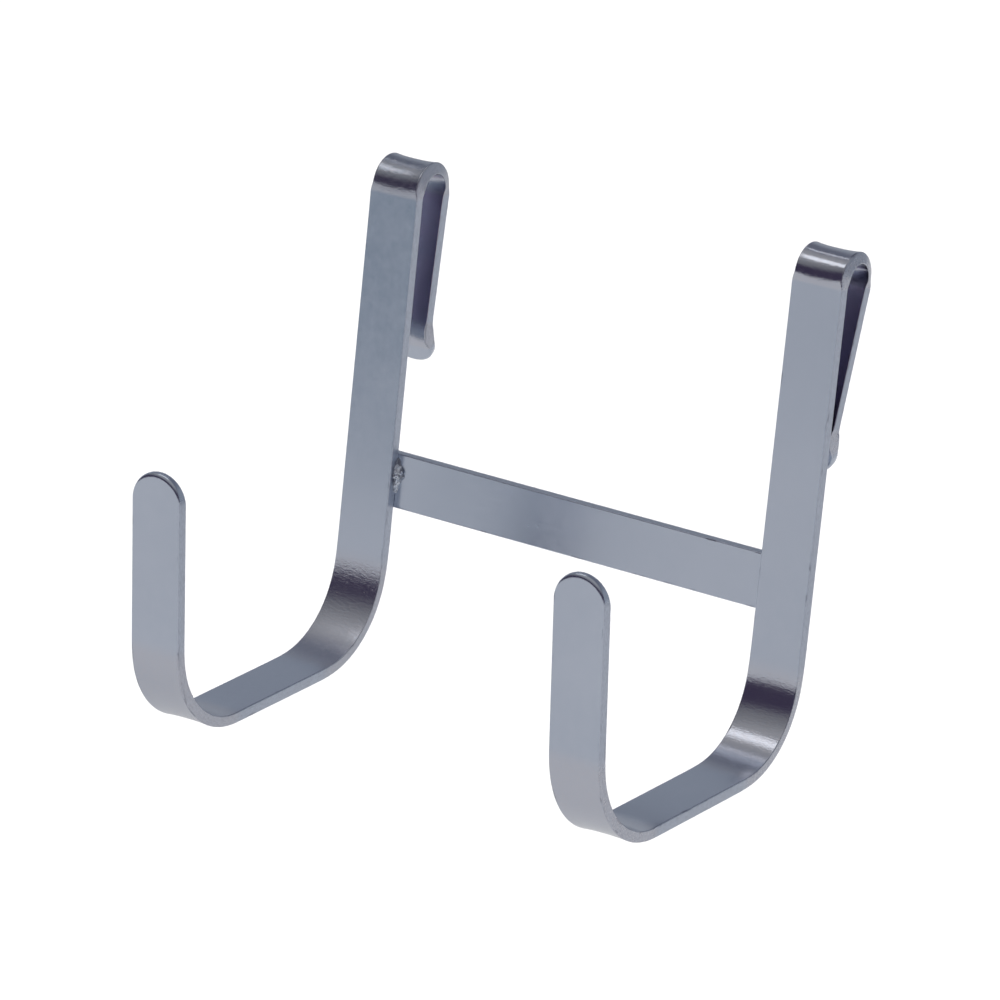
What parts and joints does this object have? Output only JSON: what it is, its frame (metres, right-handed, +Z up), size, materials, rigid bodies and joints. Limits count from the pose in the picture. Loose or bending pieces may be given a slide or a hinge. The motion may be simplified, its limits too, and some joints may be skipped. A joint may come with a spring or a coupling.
{
  "type": "headphone hook",
  "caption": "Bent flat-bar double J-hook with sprung clips that slip over a panel edge and a welded crossbar, for hanging headphones.",
  "frame": {"origin": "on the top edge of the panel that the clips sit on, at the crown of the left clip's slot, midway between the two hooks, in the middle of that slot", "axes": "+X along the crossbar to the right hook, +Y from the front arms to the back of the panel, +Z up along the stems"},
  "size_m": [0.1554, 0.1301, 0.1535],
  "materials": {
    "hook_steel": "zinc-plated, satin",
    "crossbar_steel": "zinc-plated, satin",
    "weld_metal": "zinc-plated, rough"
  },
  "bodies": {
    "root": {"left_hook": "hook_steel", "right_hook": "hook_steel", "crossbar": "crossbar_steel", "left_front_weld": "weld_metal", "left_rear_weld": "weld_metal", "right_front_weld": "weld_metal", "right_rear_weld": "weld_metal"}
  },
  "joints": []
}
